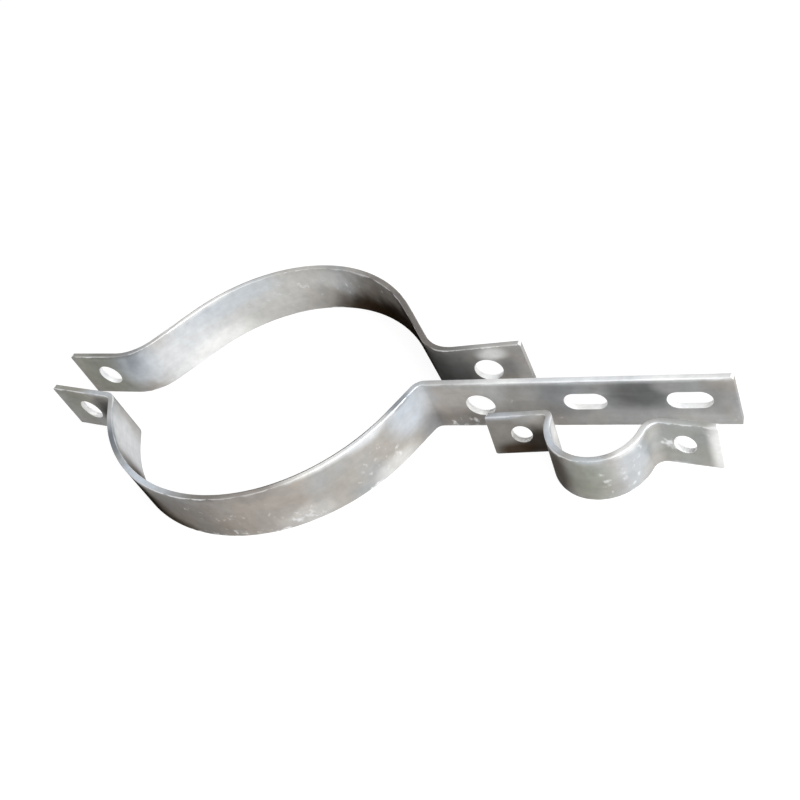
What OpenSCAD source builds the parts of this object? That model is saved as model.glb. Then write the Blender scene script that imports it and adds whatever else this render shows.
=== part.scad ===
// Pole cable clamp, millimetres, +Z up.
// Two bands of flat bar grip a pole between them, and the front one runs on into a slotted arm.
// A small saddle of the same bar holds the cable. The three straps stand on their edges, apart.
// Every strap is formed from one straight bar: a round seat, then at each end a flank, a reverse bend and an ear.

/* [Flat bar] */
// Width of the bar that the two bands are made of
band_w = 40; // [30:1:60]
// Width of the cable saddle's bar
saddle_w = 30; // [25:1:40]
// Thickness of the bar
bar_t = 4; // [3:0.5:6]
// Rounding along the bar's rolled edges
edge_r = 0.8; // [0.3:0.1:1.2]
// Rounding of the four corners where a bar was cut off
corner_r = 1.5; // [0.5:0.5:4]

/* [Front band] */
// Radius of the front band's seat, against the pole
front_seat_r = 121; // [100:1:140]
// Angle that the seat spans from its crown towards the plain ear
front_arc_left = 65; // [60:0.5:70]
// Angle that the seat spans from its crown towards the arm
front_arc_right = 62.5; // [60:0.5:70]
// Straight flank between the seat and the plain ear's bend
front_flank_left = 11; // [5:0.5:30]
// Straight flank between the seat and the arm's bend
front_flank_right = 21.5; // [5:0.5:30]
// Inside radius of the bend into the plain ear
front_bend_left = 7; // [4:1:30]
// Inside radius of the bend into the arm
front_bend_right = 6; // [4:1:30]
// Angle by which the plain ear leans away from the rear band
front_splay = 9; // [0:0.5:14]
// Length of the plain ear, from its bend to its end
front_ear_l = 54.5; // [45:0.5:70]
// Length of the arm, from its bend to its end
arm_l = 184.5; // [170:0.5:240]

/* [Rear band] */
// Radius of the rear band's seat, against the pole
rear_seat_r = 111; // [100:1:130]
// Angle that the seat spans from its crown towards the left ear
rear_arc_left = 51.5; // [45:0.5:58]
// Angle that the seat spans from its crown towards the right ear
rear_arc_right = 51; // [45:0.5:58]
// Straight flank between the seat and the left ear's bend
rear_flank_left = 36; // [20:1:50]
// Straight flank between the seat and the right ear's bend
rear_flank_right = 36; // [20:1:50]
// Inside radius of the easy bend into the left ear
rear_bend_left = 35; // [10:1:50]
// Inside radius of the bend into the right ear
rear_bend_right = 24; // [10:1:50]
// Angle by which the left ear leans back towards the seat
rear_splay_left = 0; // [0:0.5:8]
// Angle by which the right ear leans back towards the seat
rear_splay_right = 6.5; // [0:0.5:12]
// Length of the left ear, from its bend to its end
rear_ear_left = 41.5; // [36:0.5:60]
// Length of the right ear, from its bend to its end
rear_ear_right = 44.5; // [36:0.5:60]

/* [Cable saddle] */
// Radius of the saddle's seat, against the cable
saddle_seat_r = 26.5; // [20:0.5:36]
// Angle that the seat spans from its crown to the left ear's bend
saddle_arc_left = 89.5; // [75:0.5:92]
// Angle that the seat spans from its crown to the right ear's bend
saddle_arc_right = 78.5; // [75:0.5:92]
// Inside radius of the tight bend into the left ear
saddle_bend_left = 2; // [1:0.5:8]
// Inside radius of the bend into the right ear
saddle_bend_right = 7; // [2:0.5:10]
// Angle by which the left ear leans back towards the seat
saddle_splay_left = 7; // [0:0.5:10]
// Angle by which the right ear leans back towards the seat
saddle_splay_right = 5; // [0:0.5:10]
// Length of the left ear, from its bend to its end
saddle_ear_left = 35.5; // [30:0.5:50]
// Length of the right ear, from its bend to its end
saddle_ear_right = 31.5; // [28:0.5:50]
// Angle from upright by which its faces lean away from the crown, as it was formed
saddle_lean = 8.5; // [0:0.5:12]

/* [Holes] */
// Diameter of the bands' round holes
band_hole_d = 18.5; // [13:0.5:20]
// Distance from a band's end to the middle of its last hole or slot
band_hole_edge = 26; // [18:0.5:27]
// Diameter of the saddle's holes
saddle_hole_d = 13; // [9:0.5:15]
// Distance from an end of the saddle to the middle of its hole
saddle_hole_edge = 20; // [14:0.5:22]
// Length of each slot in the arm, end to end
slot_l = 26; // [20:1:40]
// Height of each slot
slot_h = 14; // [9:0.5:18]
// Distance between the middles of the two slots
slot_pitch = 60.5; // [45:0.5:66]
// Distance from the arm's round hole to the middle of the nearer slot
hole_to_slot = 66.5; // [45:0.5:70]
// How far the slots sit above the middle of the bar
slot_rise = 2; // [0:0.5:4]

/* [Layout] */
// Clear gap between the arm and the rear band's right ear, where that ear starts
ear_gap = 23.5; // [10:0.5:60]
// How far the rear band's right ear starts past the arm's start
rear_shift = 11; // [0:0.5:30]
// Turn of the rear band seen from above
rear_turn = -2.5; // [-5:0.5:5]
// Clear gap between the arm and the saddle's left ear, where that ear starts
saddle_gap = 16; // [10:0.5:40]
// How far the saddle's left ear starts past the arm's start
saddle_shift = 76.5; // [60:0.5:90]
// Turn of the saddle seen from above
saddle_turn = -3.5; // [-5:0.25:5]

/* [Hidden] */

galvanised = [0.56, 0.57, 0.56];
seat_step = 2;
bend_step = 6;
edge_steps = 3;
hole_facets = 64;
cutter_l = 4 * bar_t;

// Radii of the middle of the bar
front_r = front_seat_r + bar_t / 2;
rear_r = rear_seat_r + bar_t / 2;
saddle_r = saddle_seat_r + bar_t / 2;
function mid_bend(inside_r) = inside_r + bar_t / 2;

// Places of the values that describe one end of a strap, and the ends of each strap, left then right
ARC = 0;
FLANK = 1;
BEND = 2;
SPLAY = 3;
EAR = 4;
front_ends = [
    [front_arc_left, front_flank_left, mid_bend(front_bend_left), -front_splay, front_ear_l],
    [front_arc_right, front_flank_right, mid_bend(front_bend_right), 0, arm_l]
];
rear_ends = [
    [rear_arc_left, rear_flank_left, mid_bend(rear_bend_left), rear_splay_left, rear_ear_left],
    [rear_arc_right, rear_flank_right, mid_bend(rear_bend_right), rear_splay_right, rear_ear_right]
];
saddle_ends = [
    [saddle_arc_left, 0, mid_bend(saddle_bend_left), saddle_splay_left, saddle_ear_left],
    [saddle_arc_right, 0, mid_bend(saddle_bend_right), saddle_splay_right, saddle_ear_right]
];

// Centre of an end's bend and start of its ear, from the seat's centre, with the crown towards +Y
function bend_centre(arc_r, end) =
    (arc_r + end[BEND]) * [sin(end[ARC]), cos(end[ARC])] + end[FLANK] * [cos(end[ARC]), -sin(end[ARC])];
function ear_start(arc_r, end) = bend_centre(arc_r, end) + end[BEND] * [sin(end[SPLAY]), -cos(end[SPLAY])];
function turned(p, a) = [p.x * cos(a) - p.y * sin(a), p.x * sin(a) + p.y * cos(a)];
function flipped(p) = [p.x, -p.y];
function mirrored(p) = [-p.x, p.y];

// The arm starts here, and the other two straps are placed from it
arm_start = flipped(ear_start(front_r, front_ends[1]));

// Seat centres of the rear band and the saddle
rear_centre = arm_start + [rear_shift, ear_gap + bar_t] - turned(ear_start(rear_r, rear_ends[1]), rear_turn);
saddle_centre = arm_start + [saddle_shift, -saddle_gap - bar_t]
    - turned(flipped(mirrored(ear_start(saddle_r, saddle_ends[0]))), saddle_turn);

// Reach of each left ear to its outermost corner, then the middle of the whole footprint
function reach(start_x, splay, ear_l) = start_x + ear_l * cos(splay) + bar_t / 2 * abs(sin(splay));
front_reach = reach(ear_start(front_r, front_ends[0]).x, front_splay, front_ear_l);
rear_left_start = turned(mirrored(ear_start(rear_r, rear_ends[0])), rear_turn);
rear_reach = reach(-rear_left_start.x, rear_splay_left - rear_turn, rear_ear_left) - rear_centre.x;
footprint_middle = [
    (arm_start.x + arm_l - max(front_reach, rear_reach)) / 2,
    (rear_centre.y + rear_r - front_r) / 2
];

// Outline of the bar's section as [thickness, height] points, anticlockwise, with its edges rounded
function bar_section(width) = [
    for (corner = [0 : 3], step = [0 : edge_steps])
        let (
            side = corner == 0 || corner == 3 ? 1 : -1,
            top = corner < 2 ? 1 : 0,
            a = 90 * (corner + step / edge_steps)
        )
        [
            side * (bar_t / 2 - edge_r) + edge_r * cos(a),
            top * (width - 2 * edge_r) + edge_r + edge_r * sin(a)
        ]
];

// Stops along the middle of the bar as [x, y, heading], past the seat on the +X side
function side_path(arc_r, end) =
    let (
        centre = bend_centre(arc_r, end),
        start = ear_start(arc_r, end),
        swing = end[ARC] + end[SPLAY],
        steps = ceil(swing / bend_step),
        first = end[FLANK] > 0 ? 0 : 1
    )
    concat(
        [
            for (i = [first : steps])
                let (heading = swing * i / steps - end[ARC])
                [centre.x + end[BEND] * sin(heading), centre.y - end[BEND] * cos(heading), heading]
        ],
        [[start.x + end[EAR] * cos(end[SPLAY]), start.y + end[EAR] * sin(end[SPLAY]), end[SPLAY]]]
    );

// Stops along a whole strap, from its left end over the crown to its right end
function strap_path(arc_r, ends) =
    let (
        left = side_path(arc_r, ends[0]),
        right = side_path(arc_r, ends[1]),
        span = ends[0][ARC] + ends[1][ARC],
        steps = ceil(span / seat_step)
    )
    concat(
        [for (i = [len(left) - 1 : -1 : 0]) [-left[i].x, left[i].y, -left[i].z]],
        [
            for (i = [0 : steps])
                let (a = span * i / steps - ends[0][ARC])
                [arc_r * sin(a), arc_r * cos(a), -a]
        ],
        right
    );

// Slope of a leaning wall, square to its heading
function wall_slope(heading, lean) = tan(lean) * cos(heading);

// Bar of the given width swept along a path, its lower edge on Z = 0 and its thickness kept where it leans
module swept_bar(width, path, lean) {
    section = bar_section(width);
    n = len(section);
    last = (len(path) - 1) * n;
    points = [
        for (stop = path, p = section)
            let (offset = p.x * sqrt(1 + pow(wall_slope(stop.z, lean), 2)))
            [
                stop.x - offset * sin(stop.z),
                stop.y + offset * cos(stop.z) - p.y * sin(lean),
                p.y * cos(lean)
            ]
    ];
    sides = [
        for (ring = [0 : n : last - n], i = [0 : n - 1])
            let (j = (i + 1) % n)
            [ring + i, ring + n + i, ring + n + j, ring + j]
    ];
    polyhedron(points, concat([[for (i = [0 : n - 1]) i]], sides, [[for (i = [n - 1 : -1 : 0]) last + i]]));
}

// Puts its children where the ear starts on the +X side, with X along the ear and Z up its face
module at_ear(arc_r, end, lean) {
    start = ear_start(arc_r, end);
    translate([start.x, start.y, 0]) rotate([0, 0, end[SPLAY]])
        rotate([atan(wall_slope(end[SPLAY], lean)), 0, 0]) children();
}

// Takes the sharp corners off the end of an ear
module corner_cuts(width, end, lean) {
    for (top = [0, 1])
        translate([end[EAR] - top * width * sin(lean) * sin(end[SPLAY]), 0, top * width])
            mirror([0, 0, top]) difference() {
                translate([-corner_r, -cutter_l / 2, -corner_r])
                    cube([2 * corner_r, cutter_l, 2 * corner_r]);
                translate([-corner_r, 0, corner_r]) rotate([90, 0, 0])
                    cylinder(r = corner_r, h = 2 * cutter_l, center = true, $fn = hole_facets);
            }
}

// Round hole through the bar, a distance along the ear and up from the lower edge
module hole_cut(along, height, diameter) {
    translate([along, 0, height]) rotate([90, 0, 0])
        cylinder(d = diameter, h = cutter_l, center = true, $fn = hole_facets);
}

// Slot through the bar with round ends
module slot_cut(along, height) {
    flat_l = slot_l - slot_h;
    for (side = [-1, 1]) hole_cut(along + side * flat_l / 2, height, slot_h);
    translate([along - flat_l / 2, -cutter_l / 2, height - slot_h / 2])
        cube([flat_l, cutter_l, slot_h]);
}

// Whole strap without its holes, its crown towards +Y and its lower edge on Z = 0
module formed_strap(width, arc_r, ends, lean = 0) {
    difference() {
        swept_bar(width, strap_path(arc_r, ends), lean);
        for (side = [0, 1]) mirror([1 - side, 0, 0])
            at_ear(arc_r, ends[side], lean) corner_cuts(width, ends[side], lean);
    }
}

// One round hole in each ear, the given distance from its end
module ear_holes(width, arc_r, ends, edge, diameter, lean = 0) {
    for (side = [0, 1]) mirror([1 - side, 0, 0])
        at_ear(arc_r, ends[side], lean) hole_cut(ends[side][EAR] - edge, width / 2, diameter);
}

// Places a strap that was formed about its seat's centre
module placed(centre, turn) {
    spot = centre - footprint_middle;
    translate([spot.x, spot.y, 0]) rotate([0, 0, turn]) children();
}

module front_band() {
    last_slot = arm_l - band_hole_edge;
    color(galvanised) placed([0, 0], 0) mirror([0, 1, 0]) difference() {
        formed_strap(band_w, front_r, front_ends);
        mirror([1, 0, 0]) at_ear(front_r, front_ends[0], 0)
            hole_cut(front_ear_l - band_hole_edge, band_w / 2, band_hole_d);
        at_ear(front_r, front_ends[1], 0) {
            hole_cut(last_slot - slot_pitch - hole_to_slot, band_w / 2, band_hole_d);
            for (along = [last_slot - slot_pitch, last_slot])
                slot_cut(along, band_w / 2 + slot_rise);
        }
    }
}

module rear_band() {
    color(galvanised) placed(rear_centre, rear_turn) difference() {
        formed_strap(band_w, rear_r, rear_ends);
        ear_holes(band_w, rear_r, rear_ends, band_hole_edge, band_hole_d);
    }
}

module cable_saddle() {
    color(galvanised) placed(saddle_centre, saddle_turn) mirror([0, 1, 0]) difference() {
        formed_strap(saddle_w, saddle_r, saddle_ends, saddle_lean);
        ear_holes(saddle_w, saddle_r, saddle_ends, saddle_hole_edge, saddle_hole_d, saddle_lean);
    }
}

front_band();
rear_band();
cable_saddle();
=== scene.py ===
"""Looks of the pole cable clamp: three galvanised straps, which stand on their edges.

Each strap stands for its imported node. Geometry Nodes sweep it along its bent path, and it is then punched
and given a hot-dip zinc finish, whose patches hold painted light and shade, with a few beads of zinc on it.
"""

from __future__ import annotations

import logging
import math
from dataclasses import dataclass
from enum import Enum

import bmesh
import bpy
from mathutils import Matrix, Vector

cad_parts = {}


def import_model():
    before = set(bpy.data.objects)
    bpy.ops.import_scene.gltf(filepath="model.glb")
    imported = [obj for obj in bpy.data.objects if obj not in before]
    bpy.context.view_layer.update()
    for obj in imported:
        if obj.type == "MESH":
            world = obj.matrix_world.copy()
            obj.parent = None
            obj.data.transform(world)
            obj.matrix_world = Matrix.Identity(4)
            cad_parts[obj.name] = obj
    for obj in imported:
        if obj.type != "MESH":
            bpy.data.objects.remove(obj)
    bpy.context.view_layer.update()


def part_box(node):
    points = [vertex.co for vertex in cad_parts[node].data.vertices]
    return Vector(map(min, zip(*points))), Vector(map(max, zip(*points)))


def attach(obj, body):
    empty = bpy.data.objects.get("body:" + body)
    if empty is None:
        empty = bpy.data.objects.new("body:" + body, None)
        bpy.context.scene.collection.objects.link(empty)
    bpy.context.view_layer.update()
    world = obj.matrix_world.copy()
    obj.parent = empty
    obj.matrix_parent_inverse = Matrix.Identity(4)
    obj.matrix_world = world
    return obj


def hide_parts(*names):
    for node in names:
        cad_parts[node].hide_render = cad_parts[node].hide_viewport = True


LOG = logging.getLogger("pole_cable_clamp")
BODY = "root"

# Units
MM = 0.001
SQUARE_CM_PER_SQUARE_M = 1e4

# How finely the straps are made: two steps in degrees, then the parts of each rounding
SEAT_STEP = 0.5
BEND_STEP = 2.0
EDGE_PARTS = 5
CORNER_PARTS = 8
HALF_TURN_PARTS = 48
RIM_PARTS = 3

# Angles between faces, in degrees, above which an edge is rounded and above which it is shaded sharp
RIM_ANGLE = 50
SHARP_ANGLE = 32

# How far what is cut off a corner reaches past the bar, in millimetres
OVERSHOOT = 2.0

# Beads: the smallest one's share of the largest, their height's share of their width, and their fineness
SMALLEST_BEAD = 0.25
BEAD_FLATNESS = 0.35
BEAD_DIVISIONS = 2

# How a seed shifts the patterns along X, Y and Z, in metres
SEED_SHIFT = (1.0, 0.7, 0.3)

Point = tuple[float, float]
Triple = tuple[float, float, float]
Colour = tuple[float, float, float]
Tree = bpy.types.NodeTree
Socket = bpy.types.NodeSocket

PURE_WHITE: Colour = (1.0, 1.0, 1.0)


class Bulge(Enum):
    """Which way a strap's seat bulges, seen from above."""

    REAR = 1
    FRONT = -1


class End(Enum):
    """The end of a strap, seen with its crown away from the viewer."""

    LEFT = -1
    RIGHT = 1


# Node trees


class NodeTree:
    """A short way to write a shader or geometry node tree."""

    def __init__(self, tree: Tree) -> None:
        """Keeps the tree that the nodes go into."""
        self.tree = tree

    @classmethod
    def of(cls, owner: bpy.types.Material | bpy.types.World) -> NodeTree:
        """Switches on an owner's nodes and empties its tree.

        Args:
            owner: The material or world.

        Returns:
            Its tree, ready to be filled.
        """
        owner.use_nodes = True
        owner.node_tree.nodes.clear()
        return cls(owner.node_tree)

    def add(self, kind: str, inputs: dict | None = None, **settings: object) -> bpy.types.Node:
        """Adds one node.

        Args:
            kind: The node's type name.
            inputs: Values or sockets for its inputs, by name or number.
            **settings: Properties of the node itself.

        Returns:
            The new node.
        """
        node = self.tree.nodes.new(kind)
        for name, value in settings.items():
            setattr(node, name, value)
        for name, value in (inputs or {}).items():
            self.feed(node.inputs[name], value)
        return node

    def feed(self, socket: Socket, value: object) -> None:
        """Links a socket, or sets its plain value.

        Args:
            socket: The input to feed.
            value: Another node's output, or a plain value.
        """
        if isinstance(value, Socket):
            self.tree.links.new(value, socket)
        else:
            socket.default_value = value

    def given(self) -> bpy.types.bpy_prop_collection:
        """Gives the inputs of the group that this tree is."""
        return self.add("NodeGroupInput").outputs

    def put_out(self, results: dict[str, Socket]) -> Tree:
        """Ends a group with its results, and gives the group."""
        self.add("NodeGroupOutput", results)
        return self.tree

    def dressed(self, geometry: Socket, finish: Socket) -> Socket:
        """Turns what a geometry group has made into real meshes in their finish."""
        whole = self.add("GeometryNodeRealizeInstances", {"Geometry": geometry}).outputs[0]
        return self.add("GeometryNodeSetMaterial", {"Geometry": whole, "Material": finish}).outputs[0]

    def math(self, operation: str, *values: object, clamp: bool = False) -> Socket:
        """Adds a Math node.

        Args:
            operation: The operation's name.
            *values: One to three values or sockets.
            clamp: Whether the result stays from 0 to 1.

        Returns:
            The result's socket.
        """
        node = self.add("ShaderNodeMath", dict(enumerate(values)), operation=operation, use_clamp=clamp)
        return node.outputs[0]

    def between(self, share: object, low: float, high: float) -> Socket:
        """Turns a share from 0 to 1 evenly into a value from low to high."""
        return self.math("MULTIPLY_ADD", share, high - low, low)

    def inverse(self, mask: Socket) -> Socket:
        """Turns a mask round, so that its 1 is 0."""
        return self.math("SUBTRACT", 1.0, mask)

    def vector_math(self, operation: str, inputs: dict) -> bpy.types.bpy_prop_collection:
        """Adds a Vector Math node and gives its outputs."""
        return self.add("ShaderNodeVectorMath", inputs, operation=operation).outputs

    def vector(self, operation: str, *values: object) -> Socket:
        """Works out a vector from one or two others."""
        return self.vector_math(operation, dict(enumerate(values)))["Vector"]

    def measure(self, operation: str, *values: object) -> Socket:
        """Works out a value, such as a length, from one or two vectors."""
        return self.vector_math(operation, dict(enumerate(values)))["Value"]

    def upward(self, vector: Socket) -> Socket:
        """Gives a vector's Z."""
        return self.add("ShaderNodeSeparateXYZ", {0: vector}).outputs["Z"]

    def mix(self, factor: Socket, a: Socket | Colour, b: Socket | Colour) -> Socket:
        """Mixes two colours.

        Args:
            factor: How much of b shows.
            a: The first colour.
            b: The second colour.

        Returns:
            The mixed colour's socket.
        """
        node = self.add("ShaderNodeMix", data_type="RGBA")
        sockets = {socket.identifier: socket for socket in node.inputs}
        self.feed(sockets["Factor_Float"], factor)
        for name, colour in (("A_Color", a), ("B_Color", b)):
            self.feed(sockets[name], colour if isinstance(colour, Socket) else opaque(colour))
        return next(socket for socket in node.outputs if socket.identifier == "Result_Color")

    def luminance(self, colour: Socket) -> Socket:
        """Gives how light a colour is."""
        return self.add("ShaderNodeRGBToBW", {"Color": colour}).outputs[0]

    def noise(self, position: Socket, scale: object, detail: float, roughness: float = 0.5) -> Socket:
        """Adds a Noise Texture and gives its value, about 0.5 in the middle."""
        inputs = {"Vector": position, "Scale": scale, "Detail": detail, "Roughness": roughness}
        return self.add("ShaderNodeTexNoise", inputs).outputs["Fac"]

    def centred(self, noise: Socket) -> Socket:
        """Shifts a noise so that it swings about 0."""
        return self.math("SUBTRACT", noise, 0.5)

    def ramp(self, value: Socket, low: object, high: object) -> Socket:
        """Turns a value from low to high smoothly into 0 to 1."""
        inputs = {"Value": value, "From Min": low, "From Max": high}
        return self.add("ShaderNodeMapRange", inputs, interpolation_type="SMOOTHSTEP").outputs["Result"]


def opaque(colour: Colour) -> tuple[float, float, float, float]:
    """Adds full alpha to a colour."""
    return (*colour, 1.0)


class Kind(Enum):
    """The kinds of socket that the node groups use."""

    VALUE = "NodeSocketFloat"
    WHOLE = "NodeSocketInt"
    COLOUR = "NodeSocketColor"
    VECTOR = "NodeSocketVector"
    GEOMETRY = "NodeSocketGeometry"
    MATERIAL = "NodeSocketMaterial"


def new_group(name: str, tree_type: str, inputs: dict[str, Kind], outputs: dict[str, Kind]) -> NodeTree:
    """Makes an empty node group with named sockets.

    Args:
        name: The group's name.
        tree_type: ShaderNodeTree or GeometryNodeTree.
        inputs: Input names and kinds, in order.
        outputs: Output names and kinds, in order.

    Returns:
        The group, ready to be filled.
    """
    tree = bpy.data.node_groups.new(name, tree_type)
    for in_out, sockets in (("INPUT", inputs), ("OUTPUT", outputs)):
        for socket, kind in sockets.items():
            tree.interface.new_socket(socket, in_out=in_out, socket_type=kind.value)
    return NodeTree(tree)


# Shader groups that every zinc finish shares


class Pattern(Enum):
    """The shared shader groups, with their names."""

    CLOUDS = "zinc_clouds"
    # The scuffs are partly wear and partly a painted highlight on the edges' rounding
    SCUFFS_AND_HIGHLIGHTS = "edge_scuffs"
    # The patch group lays the coat's own tones and also painted light and painted shade
    PATCH = "patina_patch"
    SPLASHES = "zinc_splashes"
    # The line group paints a thin line of shade along an upper edge
    LINE = "edge_line"


def build_clouds() -> Tree:
    """Soft clouds of cooler and warmer zinc, with a finer mottle and rolling streaks in them.

    Returns:
        A group with the mixed colour, a shade to multiply the coat's tones by and a height for the bump.
    """
    inputs = {"Position": Kind.VECTOR, "Cloud Scale": Kind.VALUE, "Mottle Scale": Kind.VALUE,
              "Streak Scale": Kind.VALUE, "Cool": Kind.COLOUR, "Warm": Kind.COLOUR,
              "Mottle": Kind.VALUE, "Streaks": Kind.VALUE}
    outputs = {"Colour": Kind.COLOUR, "Shade": Kind.VALUE, "Height": Kind.VALUE}
    tree = new_group(Pattern.CLOUDS.value, "ShaderNodeTree", inputs, outputs)
    given = tree.given()
    stretch_along_bar = (0.06, 0.06, 1.0)
    cloud_share = 0.6
    clouds = tree.noise(given["Position"], given["Cloud Scale"], detail=3.0)
    clouds = tree.ramp(clouds, low=0.35, high=0.65)
    mottle = tree.noise(given["Position"], given["Mottle Scale"], detail=4.0, roughness=0.6)
    along_bar = tree.vector("MULTIPLY", given["Position"], stretch_along_bar)
    streaks = tree.noise(along_bar, given["Streak Scale"], detail=2.0)
    swing = tree.math("MULTIPLY", tree.centred(mottle), given["Mottle"])
    drawn = tree.math("MULTIPLY", tree.centred(streaks), given["Streaks"])
    height = tree.math("ADD", tree.math("MULTIPLY", clouds, cloud_share),
                       tree.math("MULTIPLY", mottle, 1.0 - cloud_share))
    return tree.put_out({
        "Colour": tree.mix(clouds, given["Cool"], given["Warm"]),
        "Shade": tree.math("ADD", tree.math("ADD", swing, drawn), 1.0), "Height": height})


def build_scuffs_and_highlights() -> Tree:
    """Marks the rounding of the long rolled edges, made bright as wear and as a painted highlight.

    Returns:
        A group with a mask that is 1 on the scuffed and highlit edge, and 0 on the flat of the bar's edge.
    """
    inputs = {"Position": Kind.VECTOR, "Normal": Kind.VECTOR, "Bar Height": Kind.VALUE,
              "Reach": Kind.VALUE, "Raggedness": Kind.VALUE, "Scale": Kind.VALUE}
    tree = new_group(Pattern.SCUFFS_AND_HIGHLIGHTS.value, "ShaderNodeTree", inputs, {"Mask": Kind.VALUE})
    given = tree.given()
    least_reach = 0.1 * MM
    solid_share = 0.3
    wear_scale = 0.4
    least_wear = 0.35
    above_floor = tree.upward(given["Position"])
    below_top = tree.math("SUBTRACT", given["Bar Height"], above_floor)
    from_edge = tree.math("MINIMUM", below_top, above_floor)
    ragged = tree.centred(tree.noise(given["Position"], given["Scale"], detail=4.0, roughness=0.65))
    reach = tree.math("MULTIPLY_ADD", ragged, given["Raggedness"], given["Reach"])
    reach = tree.math("MAXIMUM", reach, least_reach)
    near = tree.inverse(tree.ramp(from_edge, low=tree.math("MULTIPLY", reach, solid_share), high=reach))
    level = tree.ramp(tree.math("ABSOLUTE", tree.upward(given["Normal"])), low=0.75, high=0.97)
    rounding = tree.math("MULTIPLY", near, tree.inverse(level))
    wear = tree.noise(given["Position"], tree.math("MULTIPLY", given["Scale"], wear_scale), detail=2.0)
    worn = tree.between(tree.ramp(wear, low=0.38, high=0.62), least_wear, 1.0)
    return tree.put_out({"Mask": tree.math("MULTIPLY", rounding, worn)})


def build_patch() -> Tree:
    """A soft-edged patch round a point, with a ragged outline.

    Returns:
        A group with a mask that is 1 in the middle of the patch.
    """
    inputs = {"Position": Kind.VECTOR, "Centre": Kind.VECTOR, "Reach": Kind.VECTOR,
              "Raggedness": Kind.VALUE, "Scale": Kind.VALUE}
    tree = new_group(Pattern.PATCH.value, "ShaderNodeTree", inputs, {"Mask": Kind.VALUE})
    given = tree.given()
    offset = tree.vector("SUBTRACT", given["Position"], given["Centre"])
    distance = tree.measure("LENGTH", tree.vector("DIVIDE", offset, given["Reach"]))
    ragged = tree.centred(tree.noise(given["Position"], given["Scale"], detail=3.0, roughness=0.6))
    warped = tree.math("MULTIPLY_ADD", ragged, given["Raggedness"], distance)
    return tree.put_out({"Mask": tree.inverse(tree.ramp(warped, low=0.3, high=1.05))})


def build_splashes() -> Tree:
    """Bright splashes of zinc with ragged rims, more of them where the amount is higher.

    Returns:
        A group with a mask that is 1 on a splash.
    """
    inputs = {"Position": Kind.VECTOR, "Scale": Kind.VALUE, "Amount": Kind.VALUE}
    tree = new_group(Pattern.SPLASHES.value, "ShaderNodeTree", inputs, {"Mask": Kind.VALUE})
    given = tree.given()
    # Noise above which splashes show, where there are none and where there are many, and then their rim
    level_without = 0.80
    level_with = 0.48
    rim = 0.28
    drops = tree.noise(given["Position"], given["Scale"], detail=2.0, roughness=0.55)
    level = tree.between(given["Amount"], level_without, level_with)
    return tree.put_out({"Mask": tree.ramp(drops, low=level, high=tree.math("ADD", level, rim))})


def build_line() -> Tree:
    """Marks a thin line of painted shade that runs round an upright axis, above a given height.

    Returns:
        A group with a mask that is 1 on the line.
    """
    inputs = {"Position": Kind.VECTOR, "Centre": Kind.VECTOR, "Radius": Kind.VALUE,
              "Width": Kind.VALUE, "Level": Kind.VALUE}
    tree = new_group(Pattern.LINE.value, "ShaderNodeTree", inputs, {"Mask": Kind.VALUE})
    given = tree.given()
    in_plan = (1.0, 1.0, 0.0)
    solid_share = 0.4
    fade = 0.3 * MM
    offset = tree.vector("SUBTRACT", given["Position"], given["Centre"])
    from_axis = tree.measure("LENGTH", tree.vector("MULTIPLY", offset, in_plan))
    away = tree.math("ABSOLUTE", tree.math("SUBTRACT", from_axis, given["Radius"]))
    half = tree.math("MULTIPLY", given["Width"], 0.5)
    line = tree.inverse(tree.ramp(away, low=tree.math("MULTIPLY", half, solid_share), high=half))
    above = tree.ramp(tree.upward(given["Position"]), low=given["Level"],
                      high=tree.math("ADD", given["Level"], fade))
    return tree.put_out({"Mask": tree.math("MULTIPLY", line, above)})


def build_patterns() -> dict[Pattern, Tree]:
    """Builds each shared shader group once."""
    return {Pattern.CLOUDS: build_clouds(), Pattern.SCUFFS_AND_HIGHLIGHTS: build_scuffs_and_highlights(), Pattern.PATCH: build_patch(),
            Pattern.SPLASHES: build_splashes(), Pattern.LINE: build_line()}


class ZincTree(NodeTree):
    """The tree of a zinc material, which places the shared groups."""

    def __init__(self, material: bpy.types.Material, patterns: dict[Pattern, Tree]) -> None:
        """Empties the material's tree and adds the position that its patterns read.

        Args:
            material: The material.
            patterns: The shared shader groups.
        """
        super().__init__(NodeTree.of(material).tree)
        self.patterns = patterns
        self.where = self.add("ShaderNodeTexCoord").outputs["Object"]

    def place(self, pattern: Pattern, values: dict[str, object]) -> bpy.types.bpy_prop_collection:
        """Places a shared group.

        Args:
            pattern: Which group.
            values: Its inputs, by name. Its Position is the material's own where they don't give one.

        Returns:
            Its outputs.
        """
        inputs = {"Position": self.where, **values}
        return self.add("ShaderNodeGroup", inputs, node_tree=self.patterns[pattern]).outputs


# Zinc finishes


class Tone(Enum):
    """Tones painted on the zinc, as linear colours: its own tones, and the paler and darker tones of
    painted light and shade.
    """

    WHITE = (0.92, 0.92, 0.90)
    FROST = (0.80, 0.82, 0.84)
    ICE = (0.64, 0.70, 0.77)
    PEARL = (0.68, 0.68, 0.66)
    SILVER = (0.52, 0.52, 0.51)
    SAGE = (0.33, 0.35, 0.29)
    WARM = (0.45, 0.375, 0.31)
    TAUPE = (0.245, 0.225, 0.21)
    STEEL = (0.25, 0.27, 0.30)
    SLATE = (0.12, 0.125, 0.12)
    BROWN = (0.165, 0.12, 0.08)
    UMBER = (0.075, 0.047, 0.026)
    # Near black, used only for painted shade
    SHADE_BLACK = (0.032, 0.017, 0.007)


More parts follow.
